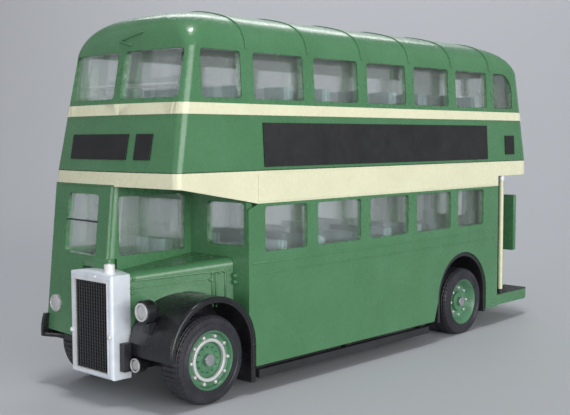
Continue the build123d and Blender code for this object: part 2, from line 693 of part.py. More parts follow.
wheel_tilt = Plane((-6.8, -43.8, 20.5), x_dir=(1, 0, 0), z_dir=(0, 0.5, 1))
with BuildPart() as steering_wheel:
    with BuildSketch(wheel_tilt) as rim_plan:
        Circle(2.9)
        Circle(2.4, mode=Mode.SUBTRACT)
        Rectangle(5.2, 0.5)
        Rectangle(0.5, 5.2)
    extrude(rim_plan.sketch, amount=0.5)
    with BuildSketch(wheel_tilt) as column:
        Circle(0.5)
    extrude(column.sketch, amount=-9.0)
steering_wheel.part.label = "steering_wheel"
export_step(steering_wheel.part, "parts/steering_wheel.step")
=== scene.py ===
"""Looks of a die-cast double decker bus: enamel, glazing, tyres and the small mouldings on its castings."""
import json
import math

import bmesh
import bpy
from mathutils import Matrix, Vector

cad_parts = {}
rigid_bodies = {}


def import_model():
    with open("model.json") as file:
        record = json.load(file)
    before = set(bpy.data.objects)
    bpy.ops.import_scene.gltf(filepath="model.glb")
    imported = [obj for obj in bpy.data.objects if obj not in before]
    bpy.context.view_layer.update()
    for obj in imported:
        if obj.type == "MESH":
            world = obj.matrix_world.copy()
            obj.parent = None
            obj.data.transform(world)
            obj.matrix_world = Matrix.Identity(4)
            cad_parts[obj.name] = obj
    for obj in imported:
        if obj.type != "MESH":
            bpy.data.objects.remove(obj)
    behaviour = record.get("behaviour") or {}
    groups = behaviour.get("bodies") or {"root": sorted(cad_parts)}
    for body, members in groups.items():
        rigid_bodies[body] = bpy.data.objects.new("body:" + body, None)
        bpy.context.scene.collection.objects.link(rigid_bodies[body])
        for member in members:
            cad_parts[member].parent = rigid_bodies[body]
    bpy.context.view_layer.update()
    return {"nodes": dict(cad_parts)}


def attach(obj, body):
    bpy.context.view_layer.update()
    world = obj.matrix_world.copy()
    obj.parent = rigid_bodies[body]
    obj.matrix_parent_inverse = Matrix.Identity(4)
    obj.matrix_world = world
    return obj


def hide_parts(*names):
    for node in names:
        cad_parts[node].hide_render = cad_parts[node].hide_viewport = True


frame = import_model()
nodes = frame["nodes"]
MM = 0.001
ROOT = "bus_body"

# Heights and places that the paint follows, in metres
UPPER_BAND = (43.12 * MM, 44.82 * MM)
# Heights of the dark line of painted shade along the joint of the two castings
SEAM_SHADE_HEIGHTS = (34.66 * MM, 34.82 * MM)
SIDE_BAND_FOOT = 29.58 * MM
REAR_BAND_FOOT = 31.55 * MM
FRONT_BAND_FOOT = 32.68 * MM
SWEEP_FRONT, SWEEP_REAR = -47.6 * MM, -32.1 * MM
NEARSIDE_SWEEP_FOOT = 32.3 * MM
OFFSIDE_SWEEP_FRONT = -36.0 * MM
PLATFORM_Y = 38.8 * MM
CAB_INNER_X = 1.7 * MM
OFFSIDE_X = -14.5 * MM
BULKHEAD_REACH = 46.0 * MM

# How far a face must look away from the middle to count as outer, and how much its look along the bus counts
OUTER_LIMIT = 8.0 * MM
LENGTHWAYS = 0.3


# Materials


class Shader:
    """One material, with a few short words for the nodes that a finish is built from."""

    def __init__(self, name, **sockets):
        self.material = bpy.data.materials.new(name)
        self.material.use_nodes = True
        self.tree = self.material.node_tree
        self.bsdf = self.tree.nodes["Principled BSDF"]
        coordinates = self.new("ShaderNodeTexCoord")
        self.place = coordinates.outputs["Object"]
        self.normal = coordinates.outputs["Normal"]
        for socket, value in sockets.items():
            self.bsdf.inputs[socket.replace("_", " ")].default_value = value

    def new(self, kind, **settings):
        node = self.tree.nodes.new(kind)
        for key, value in settings.items():
            setattr(node, key, value)
        return node

    def link(self, source, target):
        self.tree.links.new(source, target)

    def feed(self, value, socket):
        """Link a node's output to a socket, or set the socket to a constant."""
        if isinstance(value, bpy.types.NodeSocket):
            self.link(value, socket)
        else:
            socket.default_value = value

    def math(self, operation, a, b=0.0):
        node = self.new("ShaderNodeMath", operation=operation)
        self.feed(a, node.inputs[0])
        self.feed(b, node.inputs[1])
        return node.outputs[0]

    def above(self, value, limit):
        return self.math("GREATER_THAN", value, limit)

    def below(self, value, limit):
        return self.math("LESS_THAN", value, limit)

    def product(self, first, *others):
        for other in others:
            first = self.math("MULTIPLY", first, other)
        return first

    def axis(self, letter, vector=None):
        parts = self.new("ShaderNodeSeparateXYZ")
        self.link(vector or self.place, parts.inputs[0])
        return parts.outputs[letter]

    def ramp(self, value, low, high, out_low=0.0, out_high=1.0):
        node = self.new("ShaderNodeMapRange")
        self.feed(value, node.inputs["Value"])
        limits = {"From Min": low, "From Max": high, "To Min": out_low, "To Max": out_high}
        for socket, number in limits.items():
            self.feed(number, node.inputs[socket])
        return node.outputs[0]

    def noise(self, scale, detail):
        node = self.new("ShaderNodeTexNoise")
        self.link(self.place, node.inputs["Vector"])
        node.inputs["Scale"].default_value = scale
        node.inputs["Detail"].default_value = detail
        return node.outputs[0]

    def clouds(self, scale, detail, high=0.7):
        """Soft clouds between 0 and 1."""
        return self.ramp(self.noise(scale, detail), 0.35, high)

    def waves(self, letter, pitch):
        """Sine wave along one axis, between -1 and 1."""
        return self.math("SINE", self.product(self.axis(letter), 2 * math.pi / pitch))

    def mix(self, share, a, b):
        node = self.new("ShaderNodeMix", data_type="RGBA")
        self.feed(share, node.inputs["Factor"])
        for value, socket in ((a, node.inputs[6]), (b, node.inputs[7])):
            self.feed(value if isinstance(value, bpy.types.NodeSocket) else (*value, 1.0), socket)
        return node.outputs[2]

    def colour(self, value):
        self.feed(value, self.bsdf.inputs["Base Color"])

    def gloss(self, scale, detail, low, high):
        """Roughness that wanders between two values."""
        wander = self.ramp(self.noise(scale, detail), 0.3, 0.7, low, high)
        self.link(wander, self.bsdf.inputs["Roughness"])

    def bump(self, height, depth, soften=0.0):
        """Relief in metres; soften rounds the edges of the mesh in the shading."""
        node = self.new("ShaderNodeBump")
        node.inputs["Strength"].default_value = 1.0
        node.inputs["Distance"].default_value = depth
        self.link(height, node.inputs["Height"])
        if soften:
            edge = self.new("ShaderNodeBevel", samples=4)
            edge.inputs["Radius"].default_value = soften
            self.link(edge.outputs[0], node.inputs["Normal"])
        self.link(node.outputs[0], self.bsdf.inputs["Normal"])


GREEN = (0.060, 0.186, 0.078)
GREEN_WORN = (0.072, 0.208, 0.094)
CREAM = (0.77, 0.76, 0.54)
CREAM_THIN = (0.72, 0.71, 0.50)
# Dark green painted along the joint of the castings: painted shade standing in for the shadow in the gap
SEAM_SHADE = (0.012, 0.035, 0.016)
ENAMEL_COAT = {"Coat_Weight": 0.22, "Coat_Roughness": 0.10}


def paint(shader, colour_a, colour_b):
    """Sprayed colour, a little uneven in tone over a few millimetres."""
    return shader.mix(shader.clouds(160, 3.0), colour_a, colour_b)


def banded(shader, band):
    """Green with cream where the band's mask is 1."""
    return shader.mix(band, paint(shader, GREEN, GREEN_WORN), paint(shader, CREAM, CREAM_THIN))


def spray(shader):
    """Gloss and the faint orange peel of a sprayed casting, whose edges are soft under the paint."""
    shader.gloss(900, 2.0, 0.22, 0.34)
    shader.bump(shader.noise(1500, 2.0), 0.02 * MM, 0.12 * MM)


def outer_face(shader):
    """1 on faces that look away from the middle of the bus, 0 on the inside of its walls."""
    flat = shader.new("ShaderNodeVectorMath", operation="MULTIPLY")
    flat.inputs[1].default_value = (1, LENGTHWAYS, 0)
    shader.link(shader.place, flat.inputs[0])
    dot = shader.new("ShaderNodeVectorMath", operation="DOT_PRODUCT")
    shader.link(shader.normal, dot.inputs[0])
    shader.link(flat.outputs[0], dot.inputs[1])
    return shader.above(dot.outputs["Value"], OUTER_LIMIT)


def enamel_upper():
    """Upper casting: green, a cream band below its windows and a dark green line of painted shade where it
    meets the lower one.
    """
    shader = Shader("enamel_upper", **ENAMEL_COAT)
    z = shader.axis("Z")
    low, high = UPPER_BAND
    band = shader.product(shader.above(z, low), shader.below(z, high), outer_face(shader))
    # Painted shade: a dark line along the joint with the lower casting
    seam = shader.ramp(z, *SEAM_SHADE_HEIGHTS, 1.0, 0.0)
    shader.colour(shader.mix(seam, banded(shader, band), SEAM_SHADE))
    spray(shader)
    return shader.material


def enamel_lower():
    """Lower casting: green, under a cream band whose foot sweeps up to the front and steps at the rear."""
    shader = Shader("enamel_lower", **ENAMEL_COAT)
    x, y, z = (shader.axis(letter) for letter in "XYZ")
    near = shader.ramp(y, SWEEP_FRONT, SWEEP_REAR, NEARSIDE_SWEEP_FOOT, SIDE_BAND_FOOT)
    off = shader.ramp(y, OFFSIDE_SWEEP_FRONT, SWEEP_REAR, FRONT_BAND_FOOT, SIDE_BAND_FOOT)
    offside = shader.below(x, OFFSIDE_X)
    foot = shader.math("ADD", near, shader.product(offside, shader.math("SUBTRACT", off, near)))
    rear = shader.above(y, PLATFORM_Y)
    foot = shader.math("ADD", foot, shader.product(rear, REAR_BAND_FOOT - SIDE_BAND_FOOT))
    cab_front = shader.product(shader.below(y, SWEEP_FRONT), shader.below(x, CAB_INNER_X))
    foot = shader.math("MAXIMUM", foot, shader.product(cab_front, FRONT_BAND_FOOT))
    not_underneath = shader.above(shader.axis("Z", shader.normal), -0.6)
    endways = shader.above(shader.math("ABSOLUTE", shader.axis("Y", shader.normal)), 0.7)
    bulkhead = shader.product(endways, shader.below(shader.math("ABSOLUTE", y), BULKHEAD_REACH))
    not_bulkhead = shader.math("SUBTRACT", 1.0, bulkhead)
    band = shader.product(shader.above(z, foot), outer_face(shader), not_underneath, not_bulkhead)
    shader.colour(banded(shader, band))
    spray(shader)
    return shader.material


def enamel(name, colour_a, colour_b):
    shader = Shader(name, **ENAMEL_COAT)
    shader.colour(paint(shader, colour_a, colour_b))
    spray(shader)
    return shader.material


def moulding(name, colour, low, high, depth=0.03 * MM):
    """Moulded plastic: even colour, gloss that varies a little, a fine die grain."""
    grain = 700
    shader = Shader(name)
    lighter = tuple(min(1.0, part * 1.5 + 0.006) for part in colour)
    shader.colour(shader.mix(shader.clouds(grain / 4, 3.0, 0.75), colour, lighter))
    shader.gloss(grain, 3.0, low, high)
    shader.bump(shader.noise(grain * 2, 3.0), depth, 0.1 * MM)
    return shader.material


def silver_paint(name, colour, metal):
    shader = Shader(name, Metallic=metal, Coat_Weight=0.2, Coat_Roughness=0.15)
    shade = tuple(part * 0.86 for part in colour)
    shader.colour(shader.mix(shader.clouds(500, 4.0), colour, shade))
    shader.gloss(1200, 3.0, 0.30, 0.44)
    shader.bump(shader.noise(2600, 2.0), 0.015 * MM, 0.12 * MM)
    return shader.material


def clear_plastic():
    """Clear moulding: mostly see-through, with the reflections and bent light of a thick liner."""
    straight_through = 0.55
    shader = Shader("clear_plastic", Transmission_Weight=0.93, IOR=1.42, Roughness=0.012)
    shader.bsdf.inputs["Base Color"].default_value = (0.97, 0.99, 0.985, 1.0)
    shader.bump(shader.ramp(shader.noise(60, 1.0), 0.3, 0.7), 0.03 * MM)
    light = shader.new("ShaderNodeLightPath")
    hole = shader.new("ShaderNodeBsdfTransparent")
    hole.inputs["Color"].default_value = (0.97, 0.985, 0.98, 1.0)
    join = shader.new("ShaderNodeMixShader")
    shader.link(shader.math("MAXIMUM", light.outputs["Is Shadow Ray"], straight_through), join.inputs[0])
    shader.link(shader.bsdf.outputs[0], join.inputs[1])
    shader.link(hole.outputs[0], join.inputs[2])
    shader.link(join.outputs[0], shader.tree.nodes["Material Output"].inputs["Surface"])
    return shader.material


def radiator_mesh():
    """Dark core whose fins are crossed by fine horizontal rows."""
    shader = Shader("radiator_mesh", Roughness=0.5)
    rows = shader.waves("Z", 0.5 * MM)
    # The rows are painted darker in their grooves and lighter on their crests, following the bump: painted
    # shade and highlight
    shader.colour(shader.mix(shader.ramp(rows, -1.0, 1.0), (0.012, 0.012, 0.014), (0.045, 0.045, 0.052)))
    shader.bump(shader.ramp(rows, -1.3, 1.3), 0.05 * MM, 0.06 * MM)
    return shader.material


def lamp_glass():
    """Silvered lens crossed by the fine squares of its moulding."""
    shader = Shader("lamp_glass", Metallic=0.35, Roughness=0.3, Coat_Weight=0.4, Coat_Roughness=0.1)
    squares = shader.product(shader.waves("X", 0.42 * MM), shader.waves("Z", 0.42 * MM))
    # The raised squares are painted lighter and the sunk ones darker, following the bump: painted highlight
    # and shade
    shader.colour(shader.mix(shader.ramp(squares, -0.6, 0.6), (0.36, 0.36, 0.37), (0.72, 0.72, 0.73)))
    shader.bump(shader.ramp(squares, -1.0, 1.0), 0.06 * MM)
    return shader.material


def tyre_rubber():
    shader = Shader("tyre_rubber", Specular_IOR_Level=0.4)
    shader.colour(shader.mix(shader.clouds(300, 4.0, 0.75), (0.018, 0.018, 0.023), (0.038, 0.037, 0.046)))
    shader.gloss(1600, 3.0, 0.26, 0.48)
    shader.bump(shader.noise(3000, 3.0), 0.04 * MM)
    return shader.material


MATERIALS = {
    "enamel_upper": enamel_upper(),
    "enamel_lower": enamel_lower(),
    "enamel_green": enamel("enamel_green", GREEN, GREEN_WORN),
    "enamel_cream": enamel("enamel_cream", CREAM, CREAM_THIN),
    "chassis_black": moulding("chassis_black", (0.013, 0.013, 0.015), 0.38, 0.55),
    "wing_black": moulding("wing_black", (0.010, 0.010, 0.012), 0.20, 0.34),
    "board_black": moulding("board_black", (0.006, 0.006, 0.0065), 0.42, 0.55, depth=0.01 * MM),
    "seat_grey": moulding("seat_grey", (0.17, 0.24, 0.25), 0.45, 0.60),
    "silver": silver_paint("silver", (0.84, 0.89, 0.96), 0.30),
    "silver_white": silver_paint("silver_white", (0.86, 0.86, 0.86), 0.25),
    "lamp_silver": silver_paint("lamp_silver", (0.72, 0.72, 0.72), 0.45),
    "steel": silver_paint("steel", (0.55, 0.55, 0.57), 1.0),
    "clear_plastic": clear_plastic(),
    "radiator_mesh": radiator_mesh(),
    "lamp_glass": lamp_glass(),
    "tail_red": moulding("tail_red", (0.42, 0.012, 0.010), 0.12, 0.22),
    "tyre_rubber": tyre_rubber(),
    "wheel_green": moulding("wheel_green", (0.060, 0.165, 0.088), 0.26, 0.40),
}

NODE_FINISH = {
    "upper_body": "enamel_upper", "lower_body": "enamel_lower", "bonnet": "enamel_green",
    "platform": "enamel_green", "platform_pole": "enamel_cream",
    "radiator_shell": "silver", "filler_cap": "silver", "radiator_core": "radiator_mesh",
    "front_wing_nearside": "wing_black", "front_wing_offside": "wing_black",
    "rear_wing_nearside": "chassis_black", "rear_wing_offside": "chassis_black",
    "base_plate": "chassis_black",
    "life_rail_nearside": "chassis_black", "life_rail_offside": "chassis_black",
    "front_axle": "steel", "rear_axle": "steel",
    "lower_saloon": "seat_grey", "upper_saloon": "seat_grey", "staircase": "seat_grey",
    "driver_seat": "seat_grey", "steering_wheel": "chassis_black",
    "side_board_nearside": "board_black", "side_board_offside": "board_black", "front_blinds": "board_black",
    "headlamp_bowl": "wing_black", "fog_lamp_bowl": "wing_black",
    "headlamp_lens": "lamp_glass", "fog_lamp_lens": "lamp_glass", "cab_headlamp": "lamp_glass",
}
for name, node in nodes.items():
    if name.endswith("_glazing"):
        finish = "clear_plastic"
    elif "_tyre_" in name:
        finish = "tyre_rubber"
    elif "_wheel_" in name:
        finish = "wheel_green"
    else:
        finish = NODE_FINISH[name]
    node.data.materials.clear()
    node.data.materials.append(MATERIALS[finish])


# Modelling: a few words for work in edit mode, sizes in millimetres


def alone(piece):
    """Only this piece selected."""
    bpy.ops.object.select_all(action="DESELECT")
    piece.select_set(True)
    bpy.context.view_layer.objects.active = piece


def edit(piece):
    """Only this piece selected, and opened in edit mode."""
    alone(piece)
    bpy.ops.object.mode_set(mode="EDIT")


def leave():
    bpy.ops.object.mode_set(mode="OBJECT")


def choose(kind, test):
    """Select the faces or edges of the open piece that pass the test."""
    bpy.ops.mesh.select_mode(type=kind)
    bpy.ops.mesh.select_all(action="DESELECT")
    form = bmesh.from_edit_mesh(bpy.context.object.data)
    form.normal_update()
    for item in form.faces if kind == "FACE" else form.edges:
        if test(item):
            item.select_set(True)
    form.select_flush_mode()
    bmesh.update_edit_mesh(bpy.context.object.data)


def facing(axis, sign):
    """Test for faces that look along one axis."""
    return lambda face: sign * face.normal["XYZ".index(axis)] > 0.9


def both_ends(axis):
    """Test for the faces at both ends of a piece along one axis."""
    return lambda face: abs(face.normal["XYZ".index(axis)]) > 0.9


def rim(line):
    """Test for edges that run round an axle."""
    return abs(line.verts[0].co.x - line.verts[1].co.x) < 1e-7


def cut(axis, at, keep=0, close=True):
    """Cut the open piece across an axis: keep 1 leaves what lies beyond, -1 what lies before, 0 both."""
    bpy.ops.mesh.select_all(action="SELECT")
    along = Vector([letter == axis for letter in "XYZ"])
    bpy.ops.mesh.bisect(plane_co=along * at * MM, plane_no=along, clear_inner=keep > 0, clear_outer=keep < 0,
                        use_fill=close and keep != 0)


def bridge_rims():
    """Join the two open rims of the open piece by a wall."""
    choose("EDGE", lambda line: line.is_boundary)
    bpy.ops.mesh.bridge_edge_loops()


def thicken(piece, name, thickness, offset, **settings):
    """Give an open shell its wall, inwards or outwards."""
    wall = piece.modifiers.new(name, "SOLIDIFY")
    wall.thickness = thickness * MM
    wall.offset = offset
    for key, value in settings.items():
        setattr(wall, key, value)
    bpy.ops.object.modifier_apply(modifier=wall.name)


def settle(piece, name):
    """Bring a new primitive's place, turn and size into its mesh."""
    piece.name = name
    bpy.ops.object.transform_apply(location=True, rotation=True, scale=True)
    return piece


def block(name, low, high):
    """Block between two corners."""
    bpy.ops.object.select_all(action="DESELECT")
    middle = [(a + b) / 2 * MM for a, b in zip(low, high)]
    size = [(b - a) * MM for a, b in zip(low, high)]
    bpy.ops.mesh.primitive_cube_add(size=1, location=middle, scale=size)
    return settle(bpy.context.object, name)


def disc(name, centre, radius, depth, axis, sides=32):
    """Short round bar along one axis."""
    bpy.ops.object.select_all(action="DESELECT")
    turn = {"X": (0, math.pi / 2, 0), "Y": (math.pi / 2, 0, 0), "Z": (0, 0, 0)}[axis]
    bpy.ops.mesh.primitive_cylinder_add(vertices=sides, radius=radius * MM, depth=depth * MM,
                                        location=[part * MM for part in centre], rotation=turn)
    return settle(bpy.context.object, name)


def bar(name, start, end, width, height, edge):
    """Straight bar between two points, its edges eased."""
    bpy.ops.object.select_all(action="DESELECT")
    a, b = Vector(start) * MM, Vector(end) * MM
    turn = (b - a).to_track_quat("X", "Z").to_euler()
    bpy.ops.mesh.primitive_cube_add(size=1, location=(a + b) / 2, rotation=turn,
                                    scale=((b - a).length, width * MM, height * MM))
    piece = settle(bpy.context.object, name)
    edit(piece)
    bpy.ops.mesh.select_all(action="SELECT")
    bpy.ops.mesh.bevel(offset=edge * MM, segments=2)
    leave()
    return piece


def stepped(piece, test, steps):
    """Turned face: each step goes in by a width and up or down by a depth."""
    edit(piece)
    choose("FACE", test)
    for width, depth in steps:
        bpy.ops.mesh.inset(thickness=width * MM, depth=depth * MM)
    leave()


def pierced(piece, axis, border):
    """Frame: the two faces along an axis are set in by the border and joined through."""
    edit(piece)
    choose("FACE", both_ends(axis))
    bpy.ops.mesh.inset(thickness=border * MM, use_individual=True)
    bpy.ops.mesh.delete(type="FACE")
    bridge_rims()
    leave()
    return piece


def copied(piece, name, shift=(0, 0, 0), mirrored=False):
    """A copy with its own mesh, shifted, or mirrored to the other side of the bus."""
    alone(piece)
    bpy.ops.object.duplicate()
    twin = bpy.context.object
    twin.name = name
    edit(twin)
    bpy.ops.mesh.select_all(action="SELECT")
    if mirrored:
        bpy.ops.transform.resize(value=(-1, 1, 1), center_override=(0, 0, 0))
        bpy.ops.mesh.normals_make_consistent(inside=False)
    bpy.ops.transform.translate(value=[part * MM for part in shift])
    leave()
    return twin


def joined(name, parts):
    bpy.ops.object.select_all(action="DESELECT")
    for part in parts:
        part.select_set(True)
    bpy.context.view_layer.objects.active = parts[0]
    bpy.ops.object.join()
    parts[0].name = name
    return parts[0]


def fitted(piece, finish, body=ROOT, instead=(), smooth=32):
    """Give a finished piece its material and the body it rides on."""
    alone(piece)
    bpy.ops.object.shade_smooth_by_angle(angle=math.radians(smooth))
    piece.data.materials.clear()
    piece.data.materials.append(MATERIALS[finish])
    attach(piece, body)
    if instead:
        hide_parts(*instead)


def lifted(name, casting, planes, keep, height):
    """Raised moulding: part of a casting's own outer surface, cut out between planes and lifted."""
    alone(nodes[casting])
    bpy.ops.object.duplicate()
    piece = bpy.context.object
    bpy.ops.object.parent_clear(type="CLEAR_KEEP_TRANSFORM")
    piece.name = name
    edit(piece)
    bpy.ops.mesh.select_all(action="SELECT")
    bpy.ops.mesh.remove_doubles(threshold=0.001 * MM)
    for axis, at in planes:
        cut(axis, at)
    choose("FACE", lambda face: not keep(face.calc_center_median() / MM, face.normal))
    bpy.ops.mesh.delete(type="FACE")
    bpy.ops.mesh.select_all(action="SELECT")
    bpy.ops.mesh.dissolve_limited(angle_limit=math.radians(0.3))
    leave()
    thicken(piece, "lift", height, 1.0, use_even_offset=True, use_quality_normals=True)
    return piece


# Tyres: rounded shoulders, rows of raised blocks and a stepped sidewall

AXLE_Z = 6.72
FRONT_Y, REAR_Y = -41.7, 26.6
TYRE_FACE, FRONT_INNER, REAR_INNER = 14.6, 10.7, 7.6
TREAD_R, RIM_R, SHOULDER = 6.56, 4.5, 0.75
TREAD_ROWS, TREAD_BLOCKS = 3, 52
SHOULDER_R = 6.0
SIDEWALL_STEPS = ((0.25, 0), (0.12, -0.08), (0.45, 0.02), (0.1, 0.06))


def radius(face, y):
    """Distance of a face from an axle, in millimetres."""
    centre = face.calc_center_median() / MM
    return math.hypot(centre.y - y, centre.z - AXLE_Z)


def around(face):
    """Test for the faces that run round a tyre under its tread."""
    return abs(face.normal.x) < 0.1


def treaded(name, inner, outer, y):
    tyre = disc(name, ((inner + outer) / 2, y, AXLE_Z), TREAD_R, outer - inner, "X", TREAD_BLOCKS)
    edit(tyre)
    choose("EDGE", rim)
    bpy.ops.mesh.bevel(offset=SHOULDER * MM, segments=3)
    for row in range(1, TREAD_ROWS):
        at = inner + SHOULDER + (outer - inner - 2 * SHOULDER) * row / TREAD_ROWS
        choose("FACE", around)
        bpy.ops.mesh.bisect(plane_co=(at * MM, 0, 0), plane_no=(1, 0, 0))
    choose("FACE", around)
    bpy.ops.mesh.inset(thickness=0.09 * MM, depth=0.15 * MM, use_individual=True)
    choose("FACE", lambda face: 0.2 < abs(face.normal.x) < 0.8 and radius(face, y) > SHOULDER_R)
    bpy.ops.mesh.inset(thickness=0.10 * MM, depth=0.11 * MM, use_individual=True)
    choose("FACE", lambda face: len(face.verts) > 8)
    foot_width = TREAD_R - SHOULDER - RIM_R - sum(width for width, _ in SIDEWALL_STEPS)
    for width, depth in (*SIDEWALL_STEPS, (foot_width, 0)):
        bpy.ops.mesh.inset(thickness=width * MM, depth=depth * MM, use_individual=True)
    bpy.ops.mesh.delete(type="FACE")
    bridge_rims()
    leave()
    return tyre


front_tyre = treaded("front_tread_nearside", FRONT_INNER, TYRE_FACE, FRONT_Y)
twin_width = (TYRE_FACE - REAR_INNER) / 2
outer_tyre = treaded("rear_tread_nearside", TYRE_FACE - twin_width, TYRE_FACE, REAR_Y)
inner_tyre = copied(outer_tyre, "inner_tread", (-twin_width, 0, 0))
rear_tyre = joined("rear_tread_nearside", [outer_tyre, inner_tyre])
for end, tyre in (("front", front_tyre), ("rear", rear_tyre)):
    other = copied(tyre, f"{end}_tread_offside", mirrored=True)
    fitted(tyre, "tyre_rubber", f"{end}_wheelset", [f"{end}_tyre_nearside"])
    fitted(other, "tyre_rubber", f"{end}_wheelset", [f"{end}_tyre_offside"])


# Wheels: turned faces, a ring and nuts, each step of a face as its width and its rise

FRONT_STEPS = ((0.18, 0.0), (0.12, -0.12), (0.2, -0.5), (0.3, -0.12), (0.75, 0.0), (0.1, 0.06), (0.12, -0.3),
               (0.75, 0.0), (0.08, 0.12), (0.25, 0.03), (0.08, -0.12))
REAR_STEPS = ((0.18, 0.0), (0.12, -0.1), (0.45, -0.55), (0.5, -0.7), (0.4, -0.12), (0.9, 0.0), (0.06, 0.55),
              (0.12, 0.08), (0.3, 0.0), (0.1, -0.12))
WHEEL_FACE = TYRE_FACE - 0.1


def turned_wheel(name, inner, y, steps):
    middle = (inner + WHEEL_FACE) / 2
    wheel = disc(name, (middle, y, AXLE_Z), RIM_R, WHEEL_FACE - inner, "X", 64)
    stepped(wheel, facing("X", 1), steps)
    return wheel


def nuts(name, y, x, circle, count, size, height):
    """Ring of six-sided nuts with eased tops."""
    nut = disc(name, (x, y + circle, AXLE_Z), size, height, "X", 6)
    stepped(nut, facing("X", 1), ((size * 0.25, height * 0.2), (size * 0.3, 0.0), (0.02, 0.1)))
    ring = [nut]
    for i in range(1, count):
        turn = 2 * math.pi * i / count
        ring.append(copied(nut, name, (0, circle * (math.cos(turn) - 1), circle * math.sin(turn))))
    return joined(name, ring)


def raised_ring(name, y, x, middle, width, height):
    """Flat-topped ring standing on a wheel face."""
    ring = disc(name, (x, y, AXLE_Z), middle + width / 2, height, "X", 48)
    pierced(ring, "X", width)
    edit(ring)
    choose("EDGE", lambda line: rim(line) and line.verts[0].co.x > x * MM)
    bpy.ops.mesh.bevel(offset=0.07 * MM, segments=2)
    leave()
    return ring


front_hub = turned_wheel("front_hub_nearside", FRONT_INNER, FRONT_Y, FRONT_STEPS)
rear_hub = turned_wheel("rear_hub_nearside", REAR_INNER, REAR_Y, REAR_STEPS)
front_ring = raised_ring("ring", FRONT_Y, x=13.98, middle=3.0, width=0.5, height=0.55)
front_ring_nuts = nuts("nuts", FRONT_Y, x=13.95, circle=3.64, count=10, size=0.32, height=0.6)
front_nuts = joined("front_nuts_nearside", [front_ring, front_ring_nuts])
front_dots = nuts("front_dots_nearside", FRONT_Y, x=13.72, circle=1.95, count=12, size=0.13, height=0.3)
rear_nuts = nuts("rear_nuts_nearside", REAR_Y, x=13.2, circle=2.7, count=8, size=0.3, height=0.6)
WHEEL_SETS = (
    ("front", ((front_hub, "wheel_green"), (front_nuts, "lamp_silver"), (front_dots, "wheel_green"))),
    ("rear", ((rear_hub, "wheel_green"), (rear_nuts, "lamp_silver"))),
)
for end, pieces in WHEEL_SETS:
    for side in ("offside", "nearside"):
        turned = []
        for piece, finish in pieces:
            if side == "offside":
                piece = copied(piece, piece.name.replace("nearside", side), mirrored=True)
            turned.append((piece, finish))
        for piece, finish in turned:
            instead = [f"{end}_wheel_{side}"] if piece.name.startswith(f"{end}_hub") else []
            fitted(piece, finish, f"{end}_wheelset", instead)


# Mouldings raised on the castings

FIRST_PILLAR, BAY = -33.46, 13.97
PILLARS = [FIRST_PILLAR + BAY * i for i in range(6)]
RIB_HALF, RIB_FOOT, RIB_HEIGHT = 0.32, 53.15, 0.14
ROOF_CENTRE_Z = 45
WAIST_FOOT, WAIST_HEAD = (edge / MM for edge in UPPER_BAND)
PANEL_FRONT, PANEL_REAR, PANEL_FOOT, PANEL_HEAD = -32.1, 38.1, 29.85, 34.3


def on_roof_ribs(centre, normal):
    over_pillar = min(abs(centre.y - y) for y in PILLARS) < RIB_HALF
    outer = centre.x * normal.x + (centre.z - ROOF_CENTRE_Z) * normal.z > 0.5
    return centre.z > RIB_FOOT and over_pillar and outer


def on_waist_band(centre, normal):
    outer = centre.x * normal.x + LENGTHWAYS * centre.y * normal.y > 0.5
    return WAIST_FOOT < centre.z < WAIST_HEAD and outer and abs(normal.z) < 0.5


def on_cream_panel(centre, normal):
    side_wall = abs(centre.x) > 14.8 and centre.x * normal.x > 0
    return PANEL_FRONT < centre.y < PANEL_REAR and PANEL_FOOT < centre.z < PANEL_HEAD and side_wall


rib_planes = [("Y", y + side * RIB_HALF) for y in PILLARS for side in (-1, 1)] + [("Z", RIB_FOOT)]
roof_ribs = lifted("roof_ribs", "upper_body", rib_planes, on_roof_ribs, RIB_HEIGHT)
fitted(roof_ribs, "enamel_green")

waist_planes = [("Z", WAIST_FOOT), ("Z", WAIST_HEAD)]
waist_band = lifted("waist_band", "upper_body", waist_planes, on_waist_band, 0.1)
fitted(waist_band, "enamel_cream", smooth=1)

panel_planes = [("Y", PANEL_FRONT), ("Y", PANEL_REAR), ("Z", PANEL_FOOT), ("Z", PANEL_HEAD)]
cream_panel = lifted("cream_panel", "lower_body", panel_planes, on_cream_panel, 0.09)
fitted(cream_panel, "enamel_cream")

# Two beads along each side below the windows, let into the panel by half their depth
SIDE_X = 15.05
BEAD_ENDS = ((-SIDE_X, -46.8, 48.6), (SIDE_X, -33.3, 38.1))
BEAD_LEVELS = ((20.4, 0.35), (18.7, 0.25))
beads = []
for x, front, rear in BEAD_ENDS:
    for z, height in BEAD_LEVELS:
        beads.append(bar("bead", (x, front, z), (x, rear, z), width=0.24, height=height, edge=0.07))
fitted(joined("side_beads", beads), "enamel_green")


# Small fittings on the cab, bonnet, radiator and platform


def stud(name, centre, size, axis="Y", sign=-1, height=0.3):
    """Domed rivet head."""
    head = disc(name, centre, size, height, axis, 12)
    stepped(head, facing(axis, sign), ((size * 0.3, size * 0.25), (size * 0.35, size * 0.12)))
    return head


# Radiator: a core of upright fins, the frame of its mouth, studs, a header line and a cap
RADIATOR_X, RADIATOR_FACE = -0.4, -52.5
HEADER_HALF, HEADER_Z = 4.6, 19.0
MOUTH_LEFT, MOUTH_RIGHT, MOUTH_FOOT, MOUTH_HEAD = -4.55, 3.75, 4.8, 18.4
FINS, FIN_CLEARANCE, FIN_DEPTH = 13, 0.05, 0.55
CORE_FRONT, CORE_BACK = -51.6, -50.5
FRAME_LAP, FRAME_PROUD, FRAME_SUNK = 0.12, 0.08, 0.3
STUD_Y = RADIATOR_FACE - 0.05
STUDS = ((0.9, 19.1, 0.18), (-5.2, 10.4, 0.36), (4.35, 10.4, 0.36))
CAP_PLACE, CAP_R, CAP_HEIGHT = (2.6, -51.1, 20.1), 0.82, 1.6

